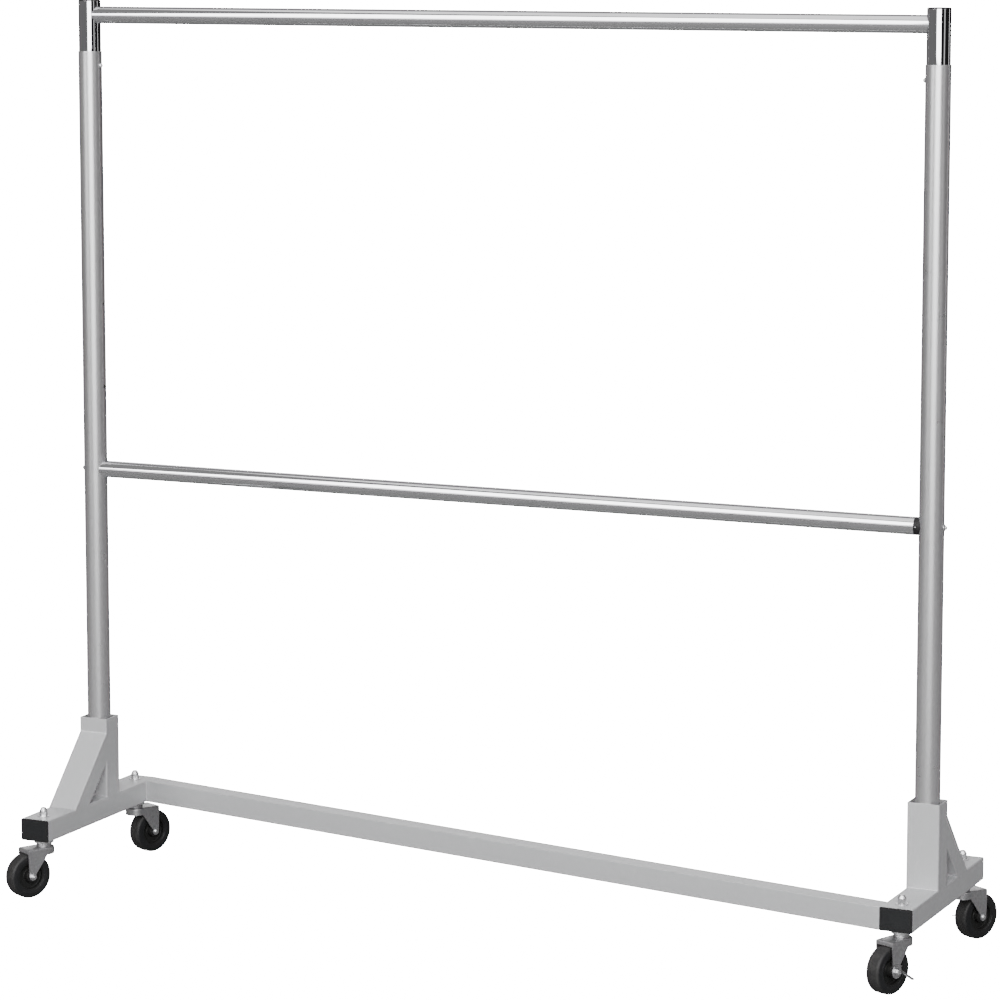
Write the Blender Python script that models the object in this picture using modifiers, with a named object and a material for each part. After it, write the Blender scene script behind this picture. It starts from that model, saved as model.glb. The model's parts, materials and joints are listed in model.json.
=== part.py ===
"""Rolling garment rail: two chrome rails between two uprights on a Z-shaped steel base with four casters.

Metres, +Z up. X runs along the rails, Y across the base, and the origin is on the floor under the middle.
"""
import bpy
import bmesh
from math import atan, cos, pi, radians, sin, tan
from mathutils import Matrix, Vector

# driving dimensions
UPRIGHT_SPACING = 1.690
OVERALL_HEIGHT = 1.695
CASTER_HEIGHT = 0.110
BAR_WIDTH = 0.060
BAR_HEIGHT = 0.042
BAR_WALL = 0.002
BAR_LONG_SIDE = 0.242        # from the upright's axis to the braced end of an end bar
BAR_SHORT_SIDE = 0.166       # from the upright's axis to the end that the long bar joins
LONG_BAR_WIDTH = 0.040
SOCKET_DEPTH = 0.0486
SOCKET_TOP = 0.306
SOCKET_WALL = 0.0015
BRACE_FOOT = 0.143           # from the upright's axis to the lowest edge of the brace
BRACE_RISE = 0.126
BRACE_THICKNESS = 0.040
CORNER = 0.003               # rounding of the square tubes
UPRIGHT_RADIUS = 0.0225
UPRIGHT_BORE = 0.0215
UPRIGHT_TOP = 1.597
RISER_RADIUS = 0.0212
RISER_BORE = 0.0200
RISER_FOOT = 1.200
RAIL_RADIUS = 0.0162
RAIL_BORE = 0.0150
TOP_RAIL_HEIGHT = 1.666
MID_RAIL_HEIGHT = 0.794
HOLE_PITCH = 0.160           # between the three bolt heights of the lower rail
HOLE_COUNT = 3
BOLT_RADIUS = 0.0030
BOLT_HOLE = 0.0034
LOCK_SCREW_HEIGHT = 1.570
SCREW_RADIUS = 0.0027
SCREW_HOLE = 0.0031
COLLAR_LENGTH = 0.0064       # thickness of the plastic collar on the rail's axis
CAP_FLANGE = 0.0015          # of the plastic caps in the ends of the end bars
CAP_SPIGOT = 0.015
TOP_CAP_FLANGE = 0.002       # of the round caps on the risers
TOP_CAP_PLUG = 0.014
INSERT_LENGTH = 0.024        # threaded plug in the lower rail's coped end
RAIL_BOLT_LENGTH = 0.066
RAIL_BOLT_HEAD = 0.0065      # radius
RAIL_BOLT_DOME = 0.0055      # height
LOCK_SCREW_HEAD = 0.0046
LOCK_SCREW_DOME = 0.0042
GAP = 0.0003                 # between pieces that touch
PAST = 0.05                  # how far a cutter runs past the piece it cuts

# caster dimensions, in its own frame: swivel axis at the origin, wheel towards +X, axle along Y
WHEEL_RADIUS = 0.043
WHEEL_WIDTH = 0.030
TRAIL = 0.036
STEM_INSET = 0.033           # from the end of an end bar to the stem
STEM_RADIUS = 0.005
STEM_HOLE = 0.0054
STEM_END = 0.0145            # above the end bar
RACE_RADIUS = 0.0185         # of the cupped washer under the bar
RACE_DEPTH = 0.008
LOWER_RACE_RADIUS = 0.0145
NUT_FLANGE = 0.0118
NUT_RADIUS = 0.0078
CROWN_TOP = 0.095
CROWN_THICKNESS = 0.003
FORK_FRONT = 0.045
SKIRT_FOOT = 0.081           # lowest height of the round skirt behind the swivel axis
FORK_INNER = 0.034
FORK_OUTER = 0.039
LIP_FOOT = 0.087             # lowest height of the lip across the front of the crown
LIP_THICKNESS = 0.0025
EYE_RADIUS = 0.0072          # of the legs round the axle
AXLE_RADIUS = 0.0030
AXLE_HEAD = 0.0050
AXLE_DOME = 0.003
AXLE_NUT = 0.0057            # to its corners
AXLE_NUT_THICKNESS = 0.0045
AXLE_HOLE = 0.0033
BUSH_RADIUS = 0.006
BUSH_BORE = 0.0033
HUB_BORE = 0.0063
HUB_RADIUS = 0.030
HUB_WIDTH = 0.032
HUB_WEB = 0.010              # thickness
RIM_WIDTH = 0.026
SHOULDER = 0.008             # rounding of the tyre's edges
BRAKE_PLATE_RADIUS = 0.012
BRAKE_PLATE = 0.003
BRAKE_ARM = 0.030
BRAKE_ARM_OFFSET = 0.0115    # behind the axle, clear of its nut
BRAKE_DROOP = radians(18)
OUTER_ANGLE = radians(62)    # of the casters at the braced ends, from +X
INNER_ANGLE = radians(68)    # of the casters at the ends that the long bar joins
ROUND = 32
SMALL_ROUND = 14
HOLE_ROUND = 12
RAIL_ROUND = 28
TYRE_ROUND = 32
HUB_ROUND = 20

# values that follow from them
BAR_TOP = CASTER_HEIGHT + BAR_HEIGHT
UPRIGHT_X = UPRIGHT_SPACING / 2
AXLE_HEIGHT = WHEEL_RADIUS * cos(pi / TYRE_ROUND)    # each tyre stands on one of its flats


def clear_scene():
    for obj in list(bpy.data.objects):
        bpy.data.objects.remove(obj)


def new_collection(name):
    collection = bpy.data.collections.new(name)
    bpy.context.scene.collection.children.link(collection)
    return collection


def new_material(name, color, roughness, metallic):
    mat = bpy.data.materials.new(name)
    mat.use_nodes = True
    shader = mat.node_tree.nodes["Principled BSDF"]
    shader.inputs["Base Color"].default_value = (*color, 1)
    shader.inputs["Roughness"].default_value = roughness
    shader.inputs["Metallic"].default_value = metallic
    mat.diffuse_color = (*color, 1)
    return mat


def add_object(name, mesh, collection, mat=None):
    obj = bpy.data.objects.new(name, mesh)
    collection.objects.link(obj)
    if mat and not mesh.materials:
        mesh.materials.append(mat)
    return obj


def mesh_from(bm, name):
    bmesh.ops.recalc_face_normals(bm, faces=bm.faces)
    mesh = bpy.data.meshes.new(name)
    bm.to_mesh(mesh)
    bm.free()
    return mesh


def box_bm(low, high):
    low, high = Vector(low), Vector(high)
    bm = bmesh.new()
    place = Matrix.Translation((low + high) / 2) @ Matrix.Diagonal((*(high - low), 1))
    bmesh.ops.create_cube(bm, size=1, matrix=place)
    return bm


def cylinder_bm(radius, low, high, axis="Z", segments=ROUND, centre=(0, 0)):
    """A cylinder from low to high along the axis; centre gives the two other coordinates in order."""
    bm = bmesh.new()
    bmesh.ops.create_cone(bm, cap_ends=True, segments=segments, radius1=radius, radius2=radius,
                          depth=high - low)
    place = Matrix.Translation((0, 0, (low + high) / 2))
    if axis == "Z":
        place = Matrix.Translation((*centre, 0)) @ place
    elif axis == "X":
        place = Matrix.Translation((0, *centre)) @ Matrix.Rotation(pi / 2, 4, "Y") @ place
    else:
        place = Matrix.Translation((centre[0], 0, centre[1])) @ Matrix.Rotation(-pi / 2, 4, "X") @ place
    bmesh.ops.transform(bm, matrix=place, verts=bm.verts)
    return bm


def round_long_edges(bm, direction, width, segments=2):
    """Bevels the edges that run along the direction."""
    along = [e for e in bm.edges if abs((e.verts[1].co - e.verts[0].co).normalized().dot(direction)) > 0.99]
    bmesh.ops.bevel(bm, geom=along, offset=width, segments=segments, profile=0.5, affect="EDGES")


def prism_bm(points, low, high):
    """A flat outline in XZ, extruded along Y."""
    bm = bmesh.new()
    face = bm.faces.new([bm.verts.new((x, low, z)) for x, z in points])
    extruded = bmesh.ops.extrude_face_region(bm, geom=[face])
    moved = [v for v in extruded["geom"] if isinstance(v, bmesh.types.BMVert)]
    bmesh.ops.translate(bm, vec=(0, high - low, 0), verts=moved)
    return bm


def arc(cx, cz, radius, start, end, count):
    angles = [start + (end - start) * i / count for i in range(count + 1)]
    return [(cx + radius * cos(a), cz + radius * sin(a)) for a in angles]


def turned(name, profile, mat, steps=ROUND):
    """A turned piece round Z: the profile gives (radius, height), down its outer side."""
    mesh = bpy.data.meshes.new(name)
    on_axis = profile[0][0] == 0 and profile[-1][0] == 0
    edges = [(i, i + 1) for i in range(len(profile) - 1)]
    if not on_axis:
        edges.append((len(profile) - 1, 0))
    mesh.from_pydata([(r, 0, z) for r, z in profile], edges, [])
    obj = add_object(name, mesh, parts, mat)
    screw = obj.modifiers.new("turn", "SCREW")
    screw.steps = screw.render_steps = steps
    screw.use_merge_vertices = True
    screw.merge_threshold = 0.00005
    return obj


def carve(obj, cutters, operation="DIFFERENCE"):
    """Cuts each bmesh out of the object, or joins it to the object, with an exact Boolean."""
    for i, bm in enumerate(cutters):
        label = f"{obj.name}_cutter_{i}"
        cutter = add_object(label, mesh_from(bm, label), guides)
        cutter.hide_render = True
        cutter.display_type = "WIRE"
        modifier = obj.modifiers.new(label, "BOOLEAN")
        modifier.operation = operation
        modifier.solver = "EXACT"
        modifier.object = cutter
    settle(obj)


def settle(obj):
    """Turns the object's modifiers into its mesh and removes its cutters."""
    bpy.context.view_layer.update()
    evaluated = obj.evaluated_get(bpy.context.evaluated_depsgraph_get())
    mesh = bpy.data.meshes.new_from_object(evaluated)
    cutters = [m.object for m in obj.modifiers if m.type == "BOOLEAN"]
    obj.modifiers.clear()
    obj.data = mesh
    for cutter in cutters:
        bpy.data.objects.remove(cutter)


def from_bm(name, bm, mat):
    return add_object(name, mesh_from(bm, name), parts, mat)


def shade(obj):
    obj.data.shade_smooth()
    obj.data.set_sharp_from_angle(angle=radians(35))


def turn_half(obj):
    """Turns the piece half a turn about the vertical axis, for the opposite end."""
    obj.rotation_euler.z += pi
    obj.location = (-obj.location.x, -obj.location.y, obj.location.z)


def tube_box(name, low, high, direction, wall, corner):
    """A rectangular tube, open at both ends along the direction."""
    low, high, direction = Vector(low), Vector(high), Vector(direction)
    outer = box_bm(low, high)
    round_long_edges(outer, direction, corner)
    across = Vector([1 - abs(c) for c in direction])
    inner = box_bm(low + wall * across - direction * PAST, high - wall * across + direction * PAST)
    obj = from_bm(name, outer, painted)
    carve(obj, [inner])
    return obj


# base

def long_bar_lie():
    """Half the long bar's length along X, its end's distance from the middle along Y, and its slope."""
    half = UPRIGHT_X - BAR_WIDTH / 2 - GAP
    slope = 0
    for _ in range(8):
        end = BAR_SHORT_SIDE - LONG_BAR_WIDTH / 2 / cos(slope)
        slope = atan(end / half)
    return half, end, slope


def end_bar(side):
    bar = tube_box(f"end_bar_{side}", (-BAR_WIDTH / 2, -BAR_LONG_SIDE + CAP_FLANGE + GAP, CASTER_HEIGHT),
                   (BAR_WIDTH / 2, BAR_SHORT_SIDE - CAP_FLANGE - GAP, BAR_TOP), (0, 1, 0), BAR_WALL, CORNER)
    low, high = CASTER_HEIGHT - PAST, BAR_TOP + PAST
    carve(bar, [cylinder_bm(STEM_HOLE, low, high, segments=SMALL_ROUND, centre=(0, y))
                for y in (STEM_INSET - BAR_LONG_SIDE, BAR_SHORT_SIDE - STEM_INSET)])
    bar.location.x = -UPRIGHT_X
    return bar


def span_box(inset, y_start, y_end):
    """A box across an end bar's section, smaller by the inset on each side."""
    half = BAR_WIDTH / 2 - inset
    low, high = CASTER_HEIGHT + inset, BAR_TOP - inset
    return box_bm((-half, min(y_start, y_end), low), (half, max(y_start, y_end), high))


def end_cap(name, outward, face):
    """A plastic cap: a flange over the bar's end and a spigot inside it; outward is -1 or 1 along Y."""
    flange = span_box(0, face, face - outward * CAP_FLANGE)
    round_long_edges(flange, Vector((0, 1, 0)), CORNER)
    inset = BAR_WALL + GAP
    back = face - outward * (CAP_FLANGE + CAP_SPIGOT)
    cap = from_bm(name, flange, cap_plastic)
    carve(cap, [span_box(inset, face - outward * CAP_FLANGE / 2, back)], "UNION")
    carve(cap, [span_box(2 * inset, face - outward * CAP_FLANGE * 1.5, back - outward * PAST)])
    cap.location.x = -UPRIGHT_X
    return cap


def long_bar():
    """The diagonal bar: a tube sheared along Y, so that its ends lie flat on the end bars."""
    half, end, slope = long_bar_lie()
    across = LONG_BAR_WIDTH / 2 / cos(slope)
    bar = tube_box("long_bar", (-half, -across, CASTER_HEIGHT), (half, across, BAR_TOP), (1, 0, 0), BAR_WALL,
                   CORNER)
    shear = Matrix.Identity(4)
    shear[1][0] = -tan(slope)
    bar.data.transform(shear)
    return bar


def socket(side):
    tube = tube_box(f"socket_{side}", (-BAR_WIDTH / 2, -SOCKET_DEPTH / 2, BAR_TOP + GAP),
                    (BAR_WIDTH / 2, SOCKET_DEPTH / 2, SOCKET_TOP), (0, 0, 1), SOCKET_WALL, CORNER)
    tube.location.x = -UPRIGHT_X
    return tube


def brace(side):
    """The sloping tube from the end bar to the socket, mitred at both ends."""
    top = -SOCKET_DEPTH / 2 - GAP
    floor = BAR_TOP + GAP
    run = BRACE_FOOT + top
    angle = atan(BRACE_RISE / run)
    drop = BRACE_THICKNESS / cos(angle)
    reach = BRACE_THICKNESS / sin(angle)
    peak = floor + BRACE_RISE
    outer = [(-BRACE_FOOT, floor), (-BRACE_FOOT + reach, floor), (top, peak - drop), (top, peak)]
    wall_drop = BAR_WALL / cos(angle)
    upper = peak - wall_drop
    lower = peak - drop + wall_drop
    inner = [(top + PAST, upper + PAST * tan(angle)), (top - 2 * run, upper - 2 * run * tan(angle)),
             (top - 2 * run, lower - 2 * run * tan(angle)), (top + PAST, lower + PAST * tan(angle))]
    body = prism_bm(outer, -BAR_WIDTH / 2, BAR_WIDTH / 2)
    bmesh.ops.recalc_face_normals(body, faces=body.faces)
    round_long_edges(body, Vector((cos(angle), 0, sin(angle))), CORNER)
    hollow = prism_bm(inner, -BAR_WIDTH / 2 + BAR_WALL, BAR_WIDTH / 2 - BAR_WALL)
    tube = from_bm(f"brace_{side}", body, painted)
    carve(tube, [hollow])
    tube.data.transform(Matrix.Rotation(pi / 2, 4, "Z") @ Matrix.Scale(-1, 4, (0, 1, 0)))
    tube.data.flip_normals()
    tube.location.x = -UPRIGHT_X
    return tube


# uprights and rails

def ring(name, outer, inner, low, high, mat, steps=ROUND):
    return turned(name, [(outer, high), (outer, low), (inner, low), (inner, high)], mat, steps)


def upright(side):
    tube = ring(f"upright_{side}", UPRIGHT_RADIUS, UPRIGHT_BORE, BAR_TOP + GAP, UPRIGHT_TOP, satin)
    settle(tube)
    heights = [MID_RAIL_HEIGHT + i * HOLE_PITCH for i in range(HOLE_COUNT)]
    through = [cylinder_bm(BOLT_HOLE, -PAST, PAST, "X", HOLE_ROUND, (0, z)) for z in heights]
    lock = cylinder_bm(SCREW_HOLE, 0, PAST, "X", HOLE_ROUND, (0, LOCK_SCREW_HEIGHT))
    carve(tube, [*through, lock])
    tube.location.x = -UPRIGHT_X
    return tube


def riser(side):
    top = OVERALL_HEIGHT - TOP_CAP_FLANGE - GAP
    tube = ring(f"riser_{side}", RISER_RADIUS, RISER_BORE, RISER_FOOT, top, chrome)
    settle(tube)
    tube.location.x = -UPRIGHT_X
    return tube


def riser_cap(side):
    """A round plastic cap with a hollow plug; its top edge is chamfered."""
    top, flange = OVERALL_HEIGHT, OVERALL_HEIGHT - TOP_CAP_FLANGE
    edge, plug, chamfer, wall = RISER_RADIUS, RISER_BORE - GAP, 0.001, 0.002
    foot = flange - TOP_CAP_PLUG
    disc = [(0, top), (edge - chamfer, top), (edge, top - chamfer), (edge, flange)]
    hollow = [(plug, flange), (plug, foot), (plug - wall, foot), (plug - wall, flange), (0, flange)]
    cap = turned(f"riser_cap_{side}", [*disc, *hollow], cap_plastic)
    settle(cap)
    cap.location.x = -UPRIGHT_X
    return cap


def rail(name, height, half):
    """A chrome tube along X."""
    tube = ring(name, RAIL_RADIUS, RAIL_BORE, -half, half, chrome, RAIL_ROUND)
    settle(tube)
    tube.data.transform(Matrix.Translation((0, 0, height)) @ Matrix.Rotation(pi / 2, 4, "Y"))
    return tube


def cope_bm(radius, x, height):
    """Cuts a rail's end to lie on an upright or a riser at x."""
    return cylinder_bm(radius + GAP, height - PAST, height + PAST, centre=(x, 0))


def top_rail():
    """Both ends are coped to sit on the risers."""
    tube = rail("top_rail", TOP_RAIL_HEIGHT, UPRIGHT_X)
    carve(tube, [cope_bm(RISER_RADIUS, x, TOP_RAIL_HEIGHT) for x in (-UPRIGHT_X, UPRIGHT_X)])
    return tube


def mid_rail():
    """The left end is coped to the upright, and the right end is square and takes the plastic collar."""
    square_end = UPRIGHT_X - UPRIGHT_RADIUS - COLLAR_LENGTH
    tube = rail("mid_rail", MID_RAIL_HEIGHT, UPRIGHT_X)
    low, high = MID_RAIL_HEIGHT - PAST, MID_RAIL_HEIGHT + PAST
    end_cut = box_bm((square_end, -PAST, low), (UPRIGHT_X + PAST, PAST, high))
    carve(tube, [cope_bm(UPRIGHT_RADIUS, -UPRIGHT_X, MID_RAIL_HEIGHT), end_cut])
    return tube


def rail_rod(radius, start, end, segments=RAIL_ROUND):
    """A rod on the lower rail's axis."""
    return cylinder_bm(radius, start, end, "X", segments, (0, MID_RAIL_HEIGHT))


def rail_collar():
    """The plastic piece between the rail's square end and the round upright, with a spigot in the rail."""
    face, spigot = UPRIGHT_X - UPRIGHT_RADIUS - COLLAR_LENGTH + GAP, 0.020
    piece = from_bm("rail_collar", rail_rod(RAIL_RADIUS, face, UPRIGHT_X), cap_plastic)
    carve(piece, [rail_rod(RAIL_BORE - GAP, face - spigot, face + COLLAR_LENGTH / 3)], "UNION")
    carve(piece, [cope_bm(UPRIGHT_RADIUS, UPRIGHT_X, MID_RAIL_HEIGHT),
                  rail_rod(BOLT_HOLE, face - PAST, UPRIGHT_X, HOLE_ROUND)])
    return piece


def rail_insert():
    """The threaded plug inside the rail's coped end."""
    start = -UPRIGHT_X + UPRIGHT_RADIUS + 0.004
    end = start + INSERT_LENGTH
    piece = from_bm("rail_insert", rail_rod(RAIL_BORE - GAP, start, end), zinc)
    carve(piece, [rail_rod(BOLT_HOLE, start - PAST, end + PAST, HOLE_ROUND)])
    return piece


def headed_bolt(name, radius, length, head_radius, head_height, steps=SMALL_ROUND):
    """A domed bolt along Z: the head stands on height 0 and the shank runs down from it."""
    r, h = head_radius, head_height
    dome = [(0, h), (0.45 * r, 0.95 * h), (0.75 * r, 0.72 * h), (0.9 * r, 0.3 * h), (r, 0.25 * h), (r, 0)]
    shank = [(radius, 0), (radius, -length), (0, -length)]
    bolt = turned(name, [*dome, *shank], steel, steps)
    settle(bolt)
    return bolt


def rail_bolt(side):
    """From the outer side of the upright, through both its walls, into the end of the lower rail."""
    bolt = headed_bolt(f"rail_bolt_{side}", BOLT_RADIUS, RAIL_BOLT_LENGTH, RAIL_BOLT_HEAD, RAIL_BOLT_DOME)
    bolt.data.transform(Matrix.Rotation(-pi / 2, 4, "Y"))
    bolt.location = (-UPRIGHT_X - UPRIGHT_RADIUS - GAP, 0, MID_RAIL_HEIGHT)
    return bolt


def lock_screw(side):
    """On the inner side of the upright; its tip ends just short of the riser."""
    length = UPRIGHT_RADIUS - UPRIGHT_BORE
    bolt = headed_bolt(f"lock_screw_{side}", SCREW_RADIUS, length, LOCK_SCREW_HEAD, LOCK_SCREW_DOME)
    bolt.data.transform(Matrix.Rotation(pi / 2, 4, "Y"))
    bolt.location = (-UPRIGHT_X + UPRIGHT_RADIUS + GAP, 0, LOCK_SCREW_HEIGHT)
    return bolt


# casters

def caster_stem():
    """The fixed stem, with the upper race under the bar and the peened foot under the fork's crown."""
    race, lip = CASTER_HEIGHT - GAP, RACE_RADIUS
    roof = race - 0.0045                                   # the cupped washer's hollow side
    foot = CROWN_TOP - CROWN_THICKNESS - GAP
    end, chamfer = BAR_TOP + STEM_END, 0.0006
    top = [(0, end), (STEM_RADIUS - chamfer, end), (STEM_RADIUS, end - chamfer), (STEM_RADIUS, race)]
    washer = [(lip - 0.0035, race), (lip, race - 0.003), (lip, race - RACE_DEPTH),
              (lip - 0.002, race - RACE_DEPTH), (lip - 0.003, roof), (STEM_RADIUS, roof)]
    peened = [(STEM_RADIUS, foot), (0.009, foot), (0.009, foot - 0.0015), (0.006, foot - 0.003),
              (0, foot - 0.003)]
    return turned("caster_stem", [*top, *washer, *peened], steel, SMALL_ROUND)


def stem_nut():
    """A domed nut with a broad flange, on top of the end bar."""
    base, bore = BAR_TOP + GAP, STEM_RADIUS + GAP
    roof = BAR_TOP + STEM_END + GAP
    dome = [(0, roof + 0.003), (0.004, roof + 0.0022), (0.0066, roof - 0.001), (NUT_RADIUS, roof - 0.006)]
    flange = [(NUT_RADIUS + 0.0004, base + 0.0018), (NUT_FLANGE, base + 0.0015), (NUT_FLANGE, base)]
    return turned("stem_nut", [*dome, *flange, (bore, base), (bore, roof), (0, roof)], steel, SMALL_ROUND)


def fork():
    """A pressed crown with two legs that taper to the axle, a lip across the front and a round skirt behind."""
    underside, deep, leg_start = CROWN_TOP - CROWN_THICKNESS, 0.1, 0.004
    half_in, half_out = FORK_INNER / 2, FORK_OUTER / 2
    eye = arc(TRAIL, AXLE_HEIGHT, EYE_RADIUS, radians(155), radians(365), 10)
    outline = [(0, CROWN_TOP), (0, SKIRT_FOOT), (leg_start, SKIRT_FOOT), *eye, (FORK_FRONT, LIP_FOOT),
               (FORK_FRONT, CROWN_TOP)]
    body = from_bm("caster_fork", prism_bm(outline, -half_out, half_out), zinc)
    carve(body, [cylinder_bm(half_out, SKIRT_FOOT, CROWN_TOP)], "UNION")
    carve(body, [box_bm((0, -half_in, -deep), (deep, half_in, LIP_FOOT)),
                 box_bm((0, -half_in, LIP_FOOT - 0.001), (FORK_FRONT - LIP_THICKNESS, half_in, underside)),
                 cylinder_bm(half_in, SKIRT_FOOT - deep, underside),
                 cylinder_bm(STEM_RADIUS + GAP, 0, deep * 2, segments=SMALL_ROUND),
                 cylinder_bm(AXLE_HOLE, -deep, deep, "Y", SMALL_ROUND, (TRAIL, AXLE_HEIGHT))])
    inner, rise, sunk = 0.011, 0.006, 0.001
    race = turned("lower_race", [(LOWER_RACE_RADIUS, CROWN_TOP + rise), (LOWER_RACE_RADIUS, CROWN_TOP - sunk),
                                 (inner, CROWN_TOP - sunk), (inner, CROWN_TOP + rise)], zinc, HUB_ROUND)
    settle(race)
    joined = bmesh.new()
    joined.from_mesh(race.data)
    bpy.data.objects.remove(race)
    carve(body, [joined], "UNION")
    return body


def axle():
    """The bolt through the fork, with a domed head on the -Y side."""
    outside = FORK_OUTER / 2 + GAP
    length = 2 * outside + BRAKE_PLATE + AXLE_NUT_THICKNESS
    bolt = headed_bolt("caster_axle", AXLE_RADIUS, length, AXLE_HEAD, AXLE_DOME)
    bolt.data.transform(Matrix.Rotation(pi / 2, 4, "X"))
    bolt.data.transform(Matrix.Translation((0, -outside, 0)))
    return bolt


def axle_nut(start):
    """A six-sided lock nut on the +Y side, from the distance start out."""
    nut = from_bm("axle_nut", cylinder_bm(AXLE_NUT, start, start + AXLE_NUT_THICKNESS, "Y", 6), steel)
    carve(nut, [cylinder_bm(AXLE_RADIUS + GAP, start - PAST, start + PAST, "Y", SMALL_ROUND)])
    return nut


def bush():
    """The steel sleeve clamped between the fork's legs, which the wheel turns on."""
    half = FORK_INNER / 2 - GAP
    sleeve = ring("axle_bush", BUSH_RADIUS, BUSH_BORE, -half, half, steel, SMALL_ROUND)
    settle(sleeve)
    sleeve.data.transform(Matrix.Rotation(pi / 2, 4, "X"))
    return sleeve


def wheel_hub():
    """The wheel's core: a boss, a thin web and a rim."""
    boss, web, rim = HUB_WIDTH / 2, HUB_WEB / 2, RIM_WIDTH / 2
    rim_inside, web_outside, web_inside, boss_radius = 0.0265, 0.0245, 0.0125, 0.0112
    upper = [(HUB_BORE, boss), (boss_radius, boss), (web_inside, web), (web_outside, web), (rim_inside, rim),
             (HUB_RADIUS, rim)]
    profile = [*upper, *[(r, -z) for r, z in reversed(upper)]]
    return turned("wheel_hub", profile, core_plastic, HUB_ROUND)


def wheel_tyre():
    """The tread, with broad round shoulders."""
    bore, half, edge = HUB_RADIUS + GAP, WHEEL_WIDTH / 2, 0.001
    upper = [(WHEEL_RADIUS - SHOULDER + SHOULDER * sin(a), half - SHOULDER + SHOULDER * cos(a))
             for a in (0, pi / 6, pi / 3, pi / 2)]
    profile = [*upper, *[(r, -z) for r, z in reversed(upper)], (bore, edge - half), (bore, half - edge)]
    return turned("wheel_tyre", profile, rubber, TYRE_ROUND)


def brake_lever():
    """A round plate on the axle, outside the fork's +Y leg, with a stop tab and an arm that stands out."""
    start = FORK_OUTER / 2 + GAP
    end, middle, rim = start + BRAKE_PLATE, start + BRAKE_PLATE / 2, BRAKE_PLATE_RADIUS
    half_tab, half_arm, half_thick = 0.007, 0.0035, 0.0015
    plate = cylinder_bm(rim, start, end, "Y", HUB_ROUND)
    lever = from_bm("brake_lever", plate, zinc)
    tab = box_bm((-half_tab, start + 0.0005, rim - 0.0025), (half_tab, end + 0.005, rim - 0.001))
    arm = box_bm((-half_arm, 0, -half_thick), (half_arm, BRAKE_ARM, half_thick))
    round_long_edges(arm, Vector((0, 0, 1)), 0.0025)
    lie = Matrix.Translation((-BRAKE_ARM_OFFSET, middle, -0.001)) @ Matrix.Rotation(-BRAKE_DROOP, 4, "X")
    bmesh.ops.transform(arm, matrix=lie, verts=arm.verts)
    carve(lever, [tab, arm], "UNION")
    carve(lever, [cylinder_bm(AXLE_HOLE, 0, PAST, "Y", SMALL_ROUND)])
    return lever


def copy_piece(source, name, parent, location):
    piece = add_object(name, source.data, parts)
    piece.parent = parent
    piece.location = location
    return piece


def make_casters():
    """One set of caster meshes, shared by the four casters; only the two at the right end have a brake."""
    nut_start = FORK_OUTER / 2 + GAP
    sources = {"stem": caster_stem(), "nut": stem_nut(), "fork": fork(), "axle": axle(), "bush": bush(),
               "hub": wheel_hub(), "tyre": wheel_tyre(), "lever": brake_lever(),
               "plain_nut": axle_nut(nut_start), "brake_nut": axle_nut(nut_start + BRAKE_PLATE + GAP)}
    for key in ("stem", "nut", "hub", "tyre"):
        settle(sources[key])
    sources["hub"].data.transform(Matrix.Rotation(pi / 2, 4, "X"))
    half_facet = Matrix.Rotation(pi / TYRE_ROUND, 4, "Z")
    sources["tyre"].data.transform(Matrix.Rotation(pi / 2, 4, "X") @ half_facet)
    long_y, short_y = BAR_LONG_SIDE - STEM_INSET, BAR_SHORT_SIDE - STEM_INSET
    places = {"left_front": (-1, -long_y, OUTER_ANGLE + pi, False),
              "left_rear": (-1, short_y, INNER_ANGLE, False),
              "right_front": (1, -short_y, INNER_ANGLE + pi, True),
              "right_rear": (1, long_y, OUTER_ANGLE, True)}
    for corner, (side, y, heading, braked) in places.items():
        swivel = bpy.data.objects.new(f"swivel_{corner}", None)
        parts.objects.link(swivel)
        swivel.location = (side * UPRIGHT_X, y, 0)
        swivel.rotation_euler.z = heading
        copy_piece(sources["stem"], f"caster_stem_{corner}", swivel, (0, 0, 0))
        copy_piece(sources["nut"], f"stem_nut_{corner}", swivel, (0, 0, 0))
        copy_piece(sources["fork"], f"caster_fork_{corner}", swivel, (0, 0, 0))
        centre = (TRAIL, 0, AXLE_HEIGHT)
        copy_piece(sources["axle"], f"caster_axle_{corner}", swivel, centre)
        copy_piece(sources["bush"], f"axle_bush_{corner}", swivel, centre)
        copy_piece(sources["hub"], f"wheel_hub_{corner}", swivel, centre)
        copy_piece(sources["tyre"], f"wheel_tyre_{corner}", swivel, centre)
        copy_piece(sources["brake_nut" if braked else "plain_nut"], f"axle_nut_{corner}", swivel, centre)
        if braked:
            copy_piece(sources["lever"], f"brake_lever_{corner}", swivel, centre)
    for source in sources.values():
        bpy.data.objects.remove(source)


def make_rail():
    """Each pair is made for the left end; the right one is the same piece after half a turn."""
    for side in ("left", "right"):
        pieces = [end_bar(side), socket(side), brace(side), upright(side), riser(side), riser_cap(side),
                  rail_bolt(side), lock_screw(side), end_cap(f"end_cap_{side}_outer", -1, -BAR_LONG_SIDE),
                  end_cap(f"end_cap_{side}_inner", 1, BAR_SHORT_SIDE)]
        if side == "right":
            for piece in pieces:
                turn_half(piece)
    long_bar()
    top_rail()
    mid_rail()
    rail_collar()
    rail_insert()
    make_casters()


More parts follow.
